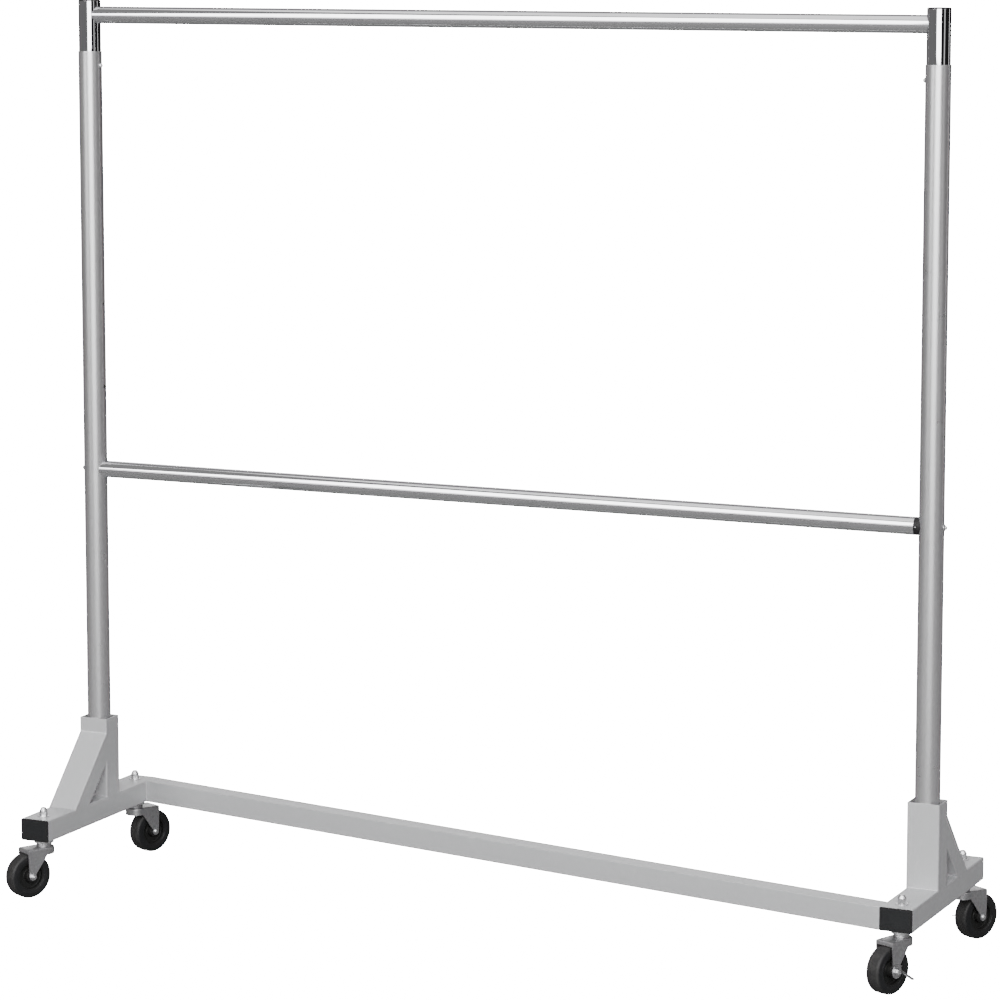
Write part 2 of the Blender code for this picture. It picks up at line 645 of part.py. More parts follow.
clear_scene()
parts = new_collection("garment_rail")
guides = new_collection("cutters")
painted = new_material("silver_paint", (0.56, 0.56, 0.57), 0.45, 0.3)
satin = new_material("satin_steel", (0.55, 0.55, 0.56), 0.35, 0.8)
chrome = new_material("chrome", (0.80, 0.80, 0.82), 0.08, 1.0)
steel = new_material("bright_steel", (0.70, 0.70, 0.71), 0.2, 1.0)
zinc = new_material("zinc_plate", (0.42, 0.42, 0.43), 0.4, 0.8)
cap_plastic = new_material("black_plastic", (0.03, 0.03, 0.03), 0.5, 0.0)
core_plastic = new_material("wheel_core", (0.02, 0.02, 0.02), 0.55, 0.0)
rubber = new_material("tyre_rubber", (0.035, 0.035, 0.035), 0.7, 0.0)
make_rail()
for piece in parts.objects:
    if piece.type == "MESH":
        shade(piece)
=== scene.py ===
import bpy
import bmesh
import json
from math import atan, atan2, cos, pi, radians, sin, sqrt, tan
from mathutils import Matrix, Vector


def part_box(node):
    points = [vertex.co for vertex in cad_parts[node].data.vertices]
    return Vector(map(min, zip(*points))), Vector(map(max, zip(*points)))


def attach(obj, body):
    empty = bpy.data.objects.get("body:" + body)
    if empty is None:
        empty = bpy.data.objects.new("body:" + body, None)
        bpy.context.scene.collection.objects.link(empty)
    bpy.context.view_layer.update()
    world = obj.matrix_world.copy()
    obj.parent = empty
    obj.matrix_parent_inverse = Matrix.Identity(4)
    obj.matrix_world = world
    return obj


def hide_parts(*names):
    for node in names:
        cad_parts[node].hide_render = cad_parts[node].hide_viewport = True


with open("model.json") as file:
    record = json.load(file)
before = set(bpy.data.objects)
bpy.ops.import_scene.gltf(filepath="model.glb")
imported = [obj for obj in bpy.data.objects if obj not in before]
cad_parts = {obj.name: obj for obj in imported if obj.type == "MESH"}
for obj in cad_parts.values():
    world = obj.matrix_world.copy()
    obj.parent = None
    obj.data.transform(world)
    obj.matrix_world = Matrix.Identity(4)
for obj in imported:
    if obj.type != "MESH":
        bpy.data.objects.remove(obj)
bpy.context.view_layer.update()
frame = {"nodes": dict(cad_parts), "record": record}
corners = ("left_front", "left_rear", "right_front", "right_rear")
ends = {"left": -1, "right": 1}
print("frame loaded")


def middle(node):
    low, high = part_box(node)
    return (low + high) / 2


def extent(node):
    low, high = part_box(node)
    return high - low


# ---- a node socket that can be used in sums, for shader and geometry trees alike ----
class Wire:
    def __init__(self, tree, socket=None):
        self.tree = tree
        self.socket = socket

    def add(self, kind, settings=None, inputs=None, output=0):   # any node but a Math node
        node = self.tree.nodes.new(kind)
        for name, value in (settings or {}).items():
            setattr(node, name, value)
        for key, value in (inputs or {}).items():
            self.feed(node.inputs[key], value)
        return Wire(self.tree, node.outputs[output])

    def feed(self, target, value):
        if isinstance(value, Wire):
            self.tree.links.new(value.socket, target)
        else:
            target.default_value = value

    def maths(self, operation, *values):
        inputs = dict(enumerate(values))
        return self.add("ShaderNodeMath", {"operation": operation}, inputs)

    def __add__(self, other):
        return self.maths("ADD", self, other)

    def __radd__(self, other):
        return self.maths("ADD", other, self)

    def __sub__(self, other):
        return self.maths("SUBTRACT", self, other)

    def __rsub__(self, other):
        return self.maths("SUBTRACT", other, self)

    def __mul__(self, other):
        return self.maths("MULTIPLY", self, other)

    def __rmul__(self, other):
        return self.maths("MULTIPLY", other, self)

    def __truediv__(self, other):
        return self.maths("DIVIDE", self, other)

    def __rtruediv__(self, other):
        return self.maths("DIVIDE", other, self)


# ---- finishes ----
def startMaterial(name, roughness, metallic, **constants):
    mat = bpy.data.materials.new(name)
    mat.use_nodes = True
    shader = mat.node_tree.nodes["Principled BSDF"]
    shader.inputs["Roughness"].default_value = roughness
    shader.inputs["Metallic"].default_value = metallic
    for label, value in constants.items():
        shader.inputs[label.replace("_", " ")].default_value = value
    wire = Wire(mat.node_tree)
    place = wire.add("ShaderNodeTexCoord", output="Object")
    return mat, shader, wire, place


def cloud(place, scale, detail=3, roughness=0.55, stretch=(1, 1, 1)):   # soft noise from 0 to 1
    spot = place.add("ShaderNodeMapping", None, {"Vector": place, "Scale": stretch})
    return place.add("ShaderNodeTexNoise", None,
                     {"Vector": spot, "Scale": scale, "Detail": detail, "Roughness": roughness}, "Fac")


def mask(value, start, end):                                   # 0 below start, 1 above end
    return value.add("ShaderNodeMapRange", {"interpolation_type": "SMOOTHSTEP"},
                     {"Value": value, "From Min": start, "From Max": end})


def tint(factor, colorA, colorB):
    inputs = {0: factor, 6: (*colorA, 1) if isinstance(colorA, tuple) else colorA,
              7: (*colorB, 1) if isinstance(colorB, tuple) else colorB}
    return factor.add("ShaderNodeMix", {"data_type": "RGBA"}, inputs, 2)


def bumped(shader, height, strength, distance):
    inputs = {"Strength": strength, "Distance": distance, "Height": height}
    height.feed(shader.inputs["Normal"], height.add("ShaderNodeBump", None, inputs))


silverPaint = {"base": (0.50, 0.505, 0.515), "dull": (0.46, 0.465, 0.475), "scuffed": (0.62, 0.62, 0.62),
               "roughness": 0.40, "metallic": 0.35, "patchScale": 9, "flakeScale": 2200, "scuffScale": 55,
               "scuffStretch": (1, 1, 0.35), "scuffFrom": 0.60, "scuffTo": 0.72, "peelScale": 380,
               "bump": 0.35, "peelDepth": 0.00008}


def makeSilverPaint():
    cfg = silverPaint
    mat, shader, wire, place = startMaterial("silverPaint", cfg["roughness"], cfg["metallic"])
    patches = cloud(place, cfg["patchScale"], 3)
    cells = {"Vector": place, "Scale": cfg["flakeScale"]}
    flake = place.add("ShaderNodeTexVoronoi", None, cells, "Distance")
    rubbed = cloud(place, cfg["scuffScale"], 6, 0.7, cfg["scuffStretch"])
    scuffs = mask(rubbed, cfg["scuffFrom"], cfg["scuffTo"])
    peel = cloud(place, cfg["peelScale"], 2)
    color = tint(patches * 0.6 + flake * 0.5, cfg["base"], cfg["dull"])
    color = tint(scuffs * 0.18, color, cfg["scuffed"])
    roughness = cfg["roughness"] + patches * 0.06 + scuffs * 0.10 - flake * 0.04
    wire.feed(shader.inputs["Base Color"], color)
    wire.feed(shader.inputs["Roughness"], roughness)
    bumped(shader, peel + flake * 0.25, cfg["bump"], cfg["peelDepth"])
    return mat


satinSteel = {"base": (0.68, 0.68, 0.69), "dark": (0.61, 0.61, 0.62), "roughness": 0.245, "metallic": 0.90,
              "grainStretch": (1400, 1400, 18), "patchScale": 5, "patchStretch": (1, 1, 0.4),
              "handledScale": 26, "handledFrom": 0.56, "handledTo": 0.74, "bump": 0.12,
              "grainDepth": 0.00003}


def makeSatinSteel():
    cfg = satinSteel
    mat, shader, wire, place = startMaterial("satinSteel", cfg["roughness"], cfg["metallic"])
    grain = cloud(place, 1, 3, 0.6, cfg["grainStretch"])       # drawn lines run up the tube
    patches = cloud(place, cfg["patchScale"], 3, 0.5, cfg["patchStretch"])
    handled = mask(cloud(place, cfg["handledScale"], 5, 0.65), cfg["handledFrom"], cfg["handledTo"])
    roughness = cfg["roughness"] + grain * 0.07 + patches * 0.05 - handled * 0.04
    wire.feed(shader.inputs["Base Color"], tint(grain * 0.5 + patches * 0.4, cfg["base"], cfg["dark"]))
    wire.feed(shader.inputs["Roughness"], roughness)
    bumped(shader, grain, cfg["bump"], cfg["grainDepth"])
    return mat


chromeTube = {"base": (0.80, 0.80, 0.82), "smudged": (0.74, 0.74, 0.76), "roughness": 0.025,
              "smudgeScale": 16, "smudgeFrom": 0.48, "smudgeTo": 0.75, "hairFrom": 0.60, "hairTo": 0.72,
              "waveScale": 90, "bump": 0.05, "waveDepth": 0.00005}


def makeChromeTube(name, stretch):                             # stretch draws hairlines out along the tube
    cfg = chromeTube
    mat, shader, wire, place = startMaterial(name, cfg["roughness"], 1.0)
    smudges = mask(cloud(place, cfg["smudgeScale"], 5, 0.6), cfg["smudgeFrom"], cfg["smudgeTo"])
    hairlines = mask(cloud(place, 1, 4, 0.7, stretch), cfg["hairFrom"], cfg["hairTo"])
    wire.feed(shader.inputs["Base Color"], tint(smudges, cfg["base"], cfg["smudged"]))
    wire.feed(shader.inputs["Roughness"], cfg["roughness"] + smudges * 0.03 + hairlines * 0.03)
    bumped(shader, cloud(place, cfg["waveScale"], 2), cfg["bump"], cfg["waveDepth"])
    return mat


plated = {"metallic": 0.95, "patchScale": 120, "pitScale": 900, "pitFrom": 0.62, "pitTo": 0.70,
          "bump": 0.18, "depth": 0.00006}


def makePlated(name, base, dark, roughness, spangle):          # zinc or nickel plating with a faint spangle
    cfg = plated
    mat, shader, wire, place = startMaterial(name, roughness, cfg["metallic"])
    cells = place.add("ShaderNodeTexVoronoi", None, {"Vector": place, "Scale": spangle}, "Color")
    tone = cells.add("ShaderNodeSeparateXYZ", None, {"Vector": cells}, "X")
    patches = cloud(place, cfg["patchScale"], 4)
    pits = mask(cloud(place, cfg["pitScale"], 2), cfg["pitFrom"], cfg["pitTo"])
    wire.feed(shader.inputs["Base Color"], tint(tone * 0.55 + patches * 0.45, base, dark))
    wire.feed(shader.inputs["Roughness"], roughness + tone * 0.10 + patches * 0.12 + pits * 0.1)
    bumped(shader, patches - pits * 0.4, cfg["bump"], cfg["depth"])
    return mat


moulded = {"specular": 0.25, "patchScale": 34, "dustScale": 75, "dustFrom": 0.52, "dustTo": 0.78,
           "bump": 0.30, "depth": 0.00008}


def makeMoulded(name, base, worn, roughness, grainScale):      # matte moulded plastic
    cfg = moulded
    mat, shader, wire, place = startMaterial(name, roughness, 0.0, Specular_IOR_Level=cfg["specular"])
    grain = cloud(place, grainScale, 3, 0.6)
    patches = cloud(place, cfg["patchScale"], 4)
    dust = mask(cloud(place, cfg["dustScale"], 6, 0.7), cfg["dustFrom"], cfg["dustTo"])
    wire.feed(shader.inputs["Base Color"], tint(dust * 0.5 + patches * 0.3, base, worn))
    wire.feed(shader.inputs["Roughness"], roughness + patches * 0.08 + dust * 0.12 - grain * 0.05)
    bumped(shader, grain, cfg["bump"], cfg["depth"])
    return mat


tread = {"clean": (0.009, 0.009, 0.010), "dusty": (0.030, 0.029, 0.028), "roughness": 0.46,
         "specular": 0.32, "grainScale": 1300, "lumpScale": 160, "dustScale": 60, "dustFrom": 0.42,
         "dustTo": 0.70, "bump": 0.30, "depth": 0.00010}


def makeTread():                                               # rubber whose crown is rubbed and dusty
    cfg = tread
    mat, shader, wire, place = startMaterial("tyreRubber", 0.55, 0.0, Specular_IOR_Level=cfg["specular"])
    crown = place.add("ShaderNodeAttribute", {"attribute_name": "crown"}, output="Fac")
    grain = cloud(place, cfg["grainScale"], 3, 0.6)
    dust = mask(cloud(place, cfg["dustScale"], 6, 0.7), cfg["dustFrom"], cfg["dustTo"])
    wear = crown * (0.35 + dust * 0.65)
    wire.feed(shader.inputs["Base Color"], tint(wear, cfg["clean"], cfg["dusty"]))
    wire.feed(shader.inputs["Roughness"], cfg["roughness"] + wear * 0.26 + dust * 0.06)
    bumped(shader, grain + cloud(place, cfg["lumpScale"], 3) * 0.6, cfg["bump"], cfg["depth"])
    return mat


finishes = {
    "silver_paint": makeSilverPaint(),
    "satin_steel": makeSatinSteel(),
    "chrome_tube": makeChromeTube("chromeRiser", (1500, 1500, 40)),
    "bright_steel": makePlated("brightSteel", (0.74, 0.74, 0.75), (0.60, 0.60, 0.61), 0.16, 700),
    "zinc_plate": makePlated("zincPlate", (0.52, 0.52, 0.53), (0.40, 0.40, 0.41), 0.27, 240),
    "black_plastic": makeMoulded("blackPlastic", (0.008, 0.008, 0.009), (0.017, 0.017, 0.018), 0.50, 1500),
    "wheel_core": makeMoulded("wheelCore", (0.008, 0.008, 0.008), (0.016, 0.016, 0.016), 0.55, 1100),
    "tyre_rubber": makeTread(),
}
chromeRail = makeChromeTube("chromeRail", (40, 1500, 1500))
print("finishes made")


# ---- mesh tools ----
def showIn(name, mesh):
    obj = bpy.data.objects.new(name, mesh)
    bpy.context.scene.collection.objects.link(obj)
    return obj


def evaluated(obj):                                            # the object's mesh with its modifiers
    bpy.context.view_layer.update()
    graph = bpy.context.evaluated_depsgraph_get()
    return bpy.data.meshes.new_from_object(obj.evaluated_get(graph), depsgraph=graph)


def settle(obj):                                               # applies modifiers and drops their helpers
    mesh = evaluated(obj)
    helpers = [m.object for m in obj.modifiers if m.type == "BOOLEAN"]
    obj.modifiers.clear()
    obj.data = mesh
    for helper in helpers:
        bpy.data.objects.remove(helper)
    return obj


def fromBm(name, bm):
    bmesh.ops.recalc_face_normals(bm, faces=bm.faces)
    mesh = bpy.data.meshes.new(name)
    bm.to_mesh(mesh)
    bm.free()
    return showIn(name, mesh)


def addBoolean(obj, other, operation):
    modifier = obj.modifiers.new(other.name, "BOOLEAN")
    modifier.operation = operation
    modifier.solver = "EXACT"
    modifier.object = other


def combine(obj, tools, operation="DIFFERENCE"):               # cuts each bmesh out of obj, or joins it
    for i, bm in enumerate(tools):
        addBoolean(obj, fromBm(f"{obj.name}_tool_{i}", bm), operation)
    return settle(obj)


def joinObject(obj, other):
    addBoolean(obj, other, "UNION")
    return settle(obj)


def block(low, high):
    low, high = Vector(low), Vector(high)
    size = Matrix.Diagonal((*(high - low), 1))
    bm = bmesh.new()
    bmesh.ops.create_cube(bm, size=1, matrix=Matrix.Translation((low + high) / 2) @ size)
    return bm


def softened(points, steps=4, closed=False):                   # rounds (x, y, radius) corners of an outline
    result = []
    for i, (x, y, radius) in enumerate(points):
        here = Vector((x, y))
        if radius == 0 or (not closed and i in (0, len(points) - 1)):
            result.append(here)
            continue
        before = Vector(points[i - 1][:2]) - here
        after = Vector(points[(i + 1) % len(points)][:2]) - here
        half = before.angle(after) / 2
        reach = min(radius / tan(half), 0.49 * before.length, 0.49 * after.length)
        bend = reach * tan(half)
        centre = here + (before.normalized() + after.normalized()).normalized() * bend / sin(half)
        start = here + before.normalized() * reach - centre
        turn = (pi - 2 * half) * (1 if before.cross(after) < 0 else -1)
        for k in range(steps + 1):
            result.append(centre + Matrix.Rotation(turn * k / steps, 2) @ start)
    return [(p.x, p.y) for p in result]


def lathe(profile, steps=64, closed=False):                    # turns (radius, height) points round Z
    bm = bmesh.new()
    rings = []
    for radius, height in profile:
        turns = [2 * pi * i / steps for i in range(1 if radius < 1e-7 else steps)]
        rings.append([bm.verts.new((radius * cos(t), radius * sin(t), height)) for t in turns])
    pairs = list(zip(rings, rings[1:]))
    if closed:
        pairs.append((rings[-1], rings[0]))
    for upper, lower in pairs:
        for i in range(steps):
            loop = [upper[i % len(upper)], upper[(i + 1) % steps % len(upper)],
                    lower[(i + 1) % steps % len(lower)], lower[i % len(lower)]]
            bm.faces.new(list(dict.fromkeys(loop)))
    bmesh.ops.recalc_face_normals(bm, faces=bm.faces)
    return bm


def drawn(points, axis, reach):                                # a flat outline drawn out along one axis
    bm = bmesh.new()
    face = bm.faces.new([bm.verts.new(point) for point in points])
    for item in bmesh.ops.extrude_face_region(bm, geom=[face])["geom"]:
        if isinstance(item, bmesh.types.BMVert):
            item.co[axis] = reach
    return bm


def edgesAlong(bm, axis):
    return [e for e in bm.edges if abs((e.verts[0].co - e.verts[1].co).normalized()[axis]) > 0.9]


def bevelEdges(bm, edges, width, segments):
    bmesh.ops.bevel(bm, geom=edges, offset=width, segments=segments, profile=0.5, affect="EDGES")


def placed(bm, *matrices):
    for matrix in matrices:
        bmesh.ops.transform(bm, matrix=matrix, verts=bm.verts)
    return bm


def rod(radius, low, high, steps=48):
    return lathe([(0, high), (radius, high), (radius, low), (0, low)], steps)


def softEdges(obj, width, segments=2, angle=30):
    bevel = obj.modifiers.new("softEdges", "BEVEL")
    bevel.width = width
    bevel.segments = segments
    bevel.limit_method = "ANGLE"
    bevel.angle_limit = radians(angle)
    bevel.use_clamp_overlap = True
    return settle(obj)


def finishPiece(obj, mat, sharp=38):                           # smooth shading that leaves broad flats flat
    mesh = obj.data
    mesh.materials.clear()
    mesh.materials.append(mat)
    mesh.shade_smooth()
    mesh.set_sharp_from_angle(angle=radians(sharp))
    weighted = obj.modifiers.new("weighted", "WEIGHTED_NORMAL")
    weighted.keep_sharp = True
    return settle(obj)


def hand(obj, body, slot, *nodes):                             # rides on a body, stands for CAD nodes
    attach(obj, body)
    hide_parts(*nodes)


# ---- geometry nodes ----
def newTree(name, sockets):
    tree = bpy.data.node_groups.new(name, "GeometryNodeTree")
    for label, kind in sockets.items():
        tree.interface.new_socket(label, in_out="INPUT", socket_type=f"NodeSocket{kind}")
    tree.interface.new_socket("Geometry", in_out="OUTPUT", socket_type="NodeSocketGeometry")
    entry = tree.nodes.new("NodeGroupInput")
    return tree, {label: Wire(tree, entry.outputs[label]) for label in sockets}


def closeTree(tree, shape, material):
    shape = shape.add("GeometryNodeRealizeInstances", None, {"Geometry": shape})
    shape = shape.add("GeometryNodeSetMaterial", None, {"Geometry": shape, "Material": material})
    leave = tree.nodes.new("NodeGroupOutput")
    shape.feed(leave.inputs["Geometry"], shape)


def runTree(tree, name, values):                               # a plain mesh from a tree and its inputs
    obj = showIn(name, bpy.data.meshes.new(name))
    modifier = obj.modifiers.new(name, "NODES")
    modifier.node_group = tree
    for item in tree.interface.items_tree:
        if item.in_out == "INPUT":
            modifier[item.identifier] = values[item.name]
    return settle(obj)


def makeTubeTree():                                            # a hollow tube along Z, from 0 up
    sockets = {label: "Float" for label in ("Width", "Depth", "Corner", "Wall", "Length", "Rim")}
    tree, given = newTree("hollowTube", {**sockets, "Steps": "Int", "Material": "Material"})
    wall, corner = given["Wall"], given["Corner"]
    rectangle = "GeometryNodeCurvePrimitiveQuadrilateral"
    path = wall.add(rectangle, None, {"Width": given["Width"] - wall, "Height": given["Depth"] - wall})
    bend = {"Curve": path, "Count": given["Steps"], "Radius": corner - wall / 2, "Limit Radius": True}
    path = path.add("GeometryNodeFilletCurve", {"mode": "POLY"}, bend)
    section = wall.add(rectangle, None, {"Width": wall, "Height": given["Length"]})
    bend = {"Curve": section, "Count": 3, "Radius": given["Rim"], "Limit Radius": True}
    section = section.add("GeometryNodeFilletCurve", {"mode": "POLY"}, bend)
    shape = path.add("GeometryNodeCurveToMesh", None, {"Curve": path, "Profile Curve": section})
    shape = shape.add("GeometryNodeMergeByDistance", None, {"Geometry": shape, "Distance": 0.000005})
    rise = wall.add("ShaderNodeCombineXYZ", None, {"Z": given["Length"] / 2})
    shape = shape.add("GeometryNodeTransform", None, {"Geometry": shape, "Translation": rise})
    shape = shape.add("GeometryNodeSetShadeSmooth", None, {"Geometry": shape})
    closeTree(tree, shape, given["Material"])
    return tree


def makeBallRingTree():                                        # balls evenly round the swivel axis
    tree, given = newTree("ballRing", {"Count": "Int", "Ring Radius": "Float", "Ball Radius": "Float",
                                       "Height": "Float", "Material": "Material"})
    ring = given["Count"].add("GeometryNodeMeshCircle", None,
                              {"Vertices": given["Count"], "Radius": given["Ring Radius"]})
    ball = given["Count"].add("GeometryNodeMeshUVSphere", None,
                              {"Segments": 12, "Rings": 8, "Radius": given["Ball Radius"]})
    shape = ring.add("GeometryNodeInstanceOnPoints", None, {"Points": ring, "Instance": ball})
    lift = ring.add("ShaderNodeCombineXYZ", None, {"Z": given["Height"]})
    shape = shape.add("GeometryNodeTransform", None, {"Geometry": shape, "Translation": lift})
    shape = shape.add("GeometryNodeSetShadeSmooth", None, {"Geometry": shape})
    closeTree(tree, shape, given["Material"])
    return tree


tubeTree = makeTubeTree()
ballTree = makeBallRingTree()
print("node trees made")


def roundTube(name, radius, wall, length, mat):
    across = 2 * radius
    return runTree(tubeTree, name, {"Width": across, "Depth": across, "Corner": radius * tubes["round"],
                                    "Wall": wall, "Length": length, "Rim": tubes["rim"],
                                    "Steps": tubes["steps"], "Material": mat})


# ---- welded base ----
baseFrame = {"edge": 0.0026, "weld": 0.0020, "rim": 0.0006, "segments": 4, "braceDepth": 0.040,
             "longBarWidth": 0.040, "overlap": 0.0003, "socketWall": 0.0015, "socketFloor": 0.004,
             "boreCorner": 0.0018, "barWall": 0.002, "stemHole": 0.0052, "barZone": 0.8}


def longBarSolid():
    low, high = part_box("long_bar")
    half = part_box("end_bar_right")[0].x + baseFrame["overlap"]
    slope = 0
    for _ in range(8):
        slope = atan((high.y - baseFrame["longBarWidth"] / 2 / cos(slope)) / high.x)
    across = baseFrame["longBarWidth"] / 2 / cos(slope)
    shear = Matrix.Identity(4)
    shear[1][0] = -tan(slope)
    return placed(block((-half, -across, low.z), (half, across, high.z)), shear)


def flat(outline, low, high):                                  # a (y, z) outline from x = low to x = high
    return drawn([(low, y, z) for y, z in outline], 0, high)


def endSolid(side):                                            # end bar, socket and brace, flush at the sides
    turn = -ends[side]                                         # the brace's side of the socket, along Y
    low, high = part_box(f"end_bar_{side}")
    short, far = sorted((low.y, high.y), key=abs)
    near, away = sorted(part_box(f"socket_{side}")[i].y * turn for i in (0, 1))
    braceLow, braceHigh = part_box(f"brace_{side}")
    foot = min(braceLow.y * turn, braceHigh.y * turn)
    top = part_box(f"socket_{side}")[1].z
    outline = [(far, low.z), (far, high.z), (foot * turn, high.z), (near * turn, braceHigh.z),
               (near * turn, top), (away * turn, top), (away * turn, high.z), (short, high.z), (short, low.z)]
    angle = atan((braceHigh.z - high.z) / (near - foot))
    depth = baseFrame["braceDepth"]
    window = [((foot + depth / sin(angle)) * turn, high.z), (near * turn, high.z),
              (near * turn, braceHigh.z - depth / cos(angle))]
    body = fromBm(f"end_{side}", flat(outline, low.x, high.x))
    return combine(body, [flat(window, low.x - 0.01, high.x + 0.01)])


def weighEdges(obj):                                           # how much each edge is rounded
    cfg = baseFrame
    bm = bmesh.new()
    bm.from_mesh(obj.data)
    bmesh.ops.dissolve_limit(bm, angle_limit=radians(0.3), verts=bm.verts, edges=bm.edges)
    weight = bm.edges.layers.float.new("bevel_weight_edge")
    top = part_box("socket_left")[1].z
    barEnds = [abs(v) for v in (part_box("end_bar_left")[0].y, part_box("end_bar_left")[1].y)]
    for edge in bm.edges:
        if len(edge.link_faces) != 2 or edge.calc_face_angle(0) < radians(12):
            continue
        points = [v.co for v in edge.verts]
        atEnd = any(all(abs(abs(p.y) - reach) < 1e-4 for p in points) for reach in barEnds)
        if all(abs(p.z - top) < 1e-5 for p in points) or (atEnd and abs(points[0].x) > cfg["barZone"]):
            edge[weight] = cfg["rim"] / cfg["edge"]
        elif edge.is_convex:
            edge[weight] = 1
        else:
            edge[weight] = cfg["weld"] / cfg["edge"]
    bm.to_mesh(obj.data)
    bm.free()


def makeBase():
    cfg = baseFrame
    base = fromBm("baseFrame", longBarSolid())
    shortEnd = min(abs(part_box("end_bar_left")[0].y), abs(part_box("end_bar_left")[1].y))
    flush = [block((-0.9, shortEnd, 0), (-0.7, 0.3, 0.2)), block((0.7, -0.3, 0), (0.9, -shortEnd, 0.2))]
    combine(base, flush)                                       # the long bar's tips end with the end bars
    for side in ends:
        joinObject(base, endSolid(side))
    weighEdges(base)
    bevel = base.modifiers.new("edges", "BEVEL")
    bevel.limit_method = "WEIGHT"
    bevel.width = cfg["edge"]
    bevel.segments = cfg["segments"]
    bevel.use_clamp_overlap = False
    settle(base)
    cuts = []
    for side in ends:
        low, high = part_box(f"socket_{side}")
        wall = Vector((cfg["socketWall"], cfg["socketWall"], 0))
        bore = block(low + wall + Vector((0, 0, cfg["socketFloor"])), high - wall + Vector((0, 0, 0.02)))
        upright = edgesAlong(bore, 2)
        bevelEdges(bore, upright, cfg["boreCorner"], 4)
        cuts.append(bore)
        low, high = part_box(f"end_bar_{side}")
        wall = Vector((cfg["barWall"], -0.01, cfg["barWall"]))
        cuts.append(block(low + wall, high - wall))
    for corner in corners:
        spot = middle(f"caster_stem_{corner}")
        cuts.append(placed(rod(cfg["stemHole"], 0.1, 0.2, 24), Matrix.Translation((spot.x, spot.y, 0))))
    combine(base, cuts)
    finishPiece(base, finishes["silver_paint"], 50)
    nodes = [f"{part}_{side}" for part in ("end_bar", "socket", "brace") for side in ends]
    hand(base, "base_frame", "silver_paint", "long_bar", *nodes)


makeBase()
print("base made")

endCap = {"edge": 0.0006, "corner": 0.0026, "inset": 0.0026, "overlap": 0.001}


def makeEndCap(side, where):
    node = f"end_cap_{side}_{where}"
    low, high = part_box(node)
    barLow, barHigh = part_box(f"end_bar_{side}")
    outward = 1 if middle(node).y > middle(f"end_bar_{side}").y else -1
    face = high.y if outward > 0 else low.y
    barEnd = barHigh.y if outward > 0 else barLow.y
    flange = block((low.x, min(face, barEnd), low.z), (high.x, max(face, barEnd), high.z))
    bevelEdges(flange, edgesAlong(flange, 1), endCap["corner"], 4)
    cap = fromBm(f"endCap_{side}_{where}", flange)
    softEdges(cap, endCap["edge"], 3, 60)
    inner = face - outward * extent(node).y
    root, inset = face - outward * endCap["overlap"], endCap["inset"]
    plug = block((low.x + inset, min(inner, root), low.z + inset),
                 (high.x - inset, max(inner, root), high.z - inset))
    combine(cap, [plug], "UNION")
    finishPiece(cap, finishes["black_plastic"])
    hand(cap, "base_frame", "black_plastic", node)


for side in ends:
    for where in ("outer", "inner"):
        makeEndCap(side, where)

# ---- uprights, risers and rails ----
tubes = {"uprightWall": 0.0010, "riserWall": 0.0012, "railWall": 0.0012, "rim": 0.0003,
         "boltHole": 0.0034, "screwHole": 0.0031, "ringGap": 0.007, "holePitch": 0.160, "holeCount": 3,
         "round": 0.9999, "steps": 28, "gap": 0.0001}


def holeHeights():                                             # the bolt heights, one above the other
    first = middle("rail_bolt_left").z
    return [first + tubes["holePitch"] * i for i in range(tubes["holeCount"])]


def sliceRings(obj, heights):                                  # rings keep the shading round a hole local
    bm = bmesh.new()
    bm.from_mesh(obj.data)
    for height in heights:
        for z in (height - tubes["ringGap"], height + tubes["ringGap"]):
            parts = [*bm.verts, *bm.edges, *bm.faces]
            bmesh.ops.bisect_plane(bm, geom=parts, plane_co=(0, 0, z), plane_no=(0, 0, 1))
    bm.to_mesh(obj.data)
    bm.free()


def makeUpright(side):
    node = f"upright_{side}"
    low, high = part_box(node)
    spot = middle(node)
    outer, rim = extent(node).x / 2, tubes["rim"]
    inner = outer - tubes["uprightWall"]
    wall = [(outer, low.z, rim), (outer, high.z, rim), (inner, high.z, rim), (inner, low.z, rim)]
    wall = softened(wall, 3, True)
    lying = placed(lathe(wall, 128, closed=True), Matrix.Translation((spot.x, spot.y, 0)))
    tube = fromBm(f"upright_{side}_tube", lying)
    lock = middle(f"lock_screw_{side}")
    sliceRings(tube, [*holeHeights(), lock.z])
    sideways = Matrix.Rotation(pi / 2, 4, "Y")
    drills = []
    for z in holeHeights():
        bolt = rod(tubes["boltHole"], -0.05, 0.05, 24)
        drills.append(placed(bolt, sideways, Matrix.Translation((spot.x, spot.y, z))))
    drills.append(placed(rod(tubes["screwHole"], -0.01, 0.01, 24), sideways, Matrix.Translation(lock)))
    combine(tube, drills)
    finishPiece(tube, finishes["satin_steel"])
    hand(tube, "base_frame", "satin_steel", node)


def makeRiser(side):
    node = f"riser_{side}"
    low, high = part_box(node)
    spot = middle(node)
    radius, length = extent(node).x / 2, high.z - low.z
    tube = roundTube(f"riser_{side}_tube", radius, tubes["riserWall"], length, finishes["chrome_tube"])
    tube.data.transform(Matrix.Translation((spot.x, spot.y, low.z)))
    finishPiece(tube, finishes["chrome_tube"])
    hand(tube, "top_frame", "chrome_tube", node)


riserCap = {"flange": 0.002, "plugInset": 0.0017, "rise": 0.0003, "dome": 0.004, "edge": 0.0009,
            "plugTaper": 0.0006, "hollowInset": 0.0024, "roof": 0.001}


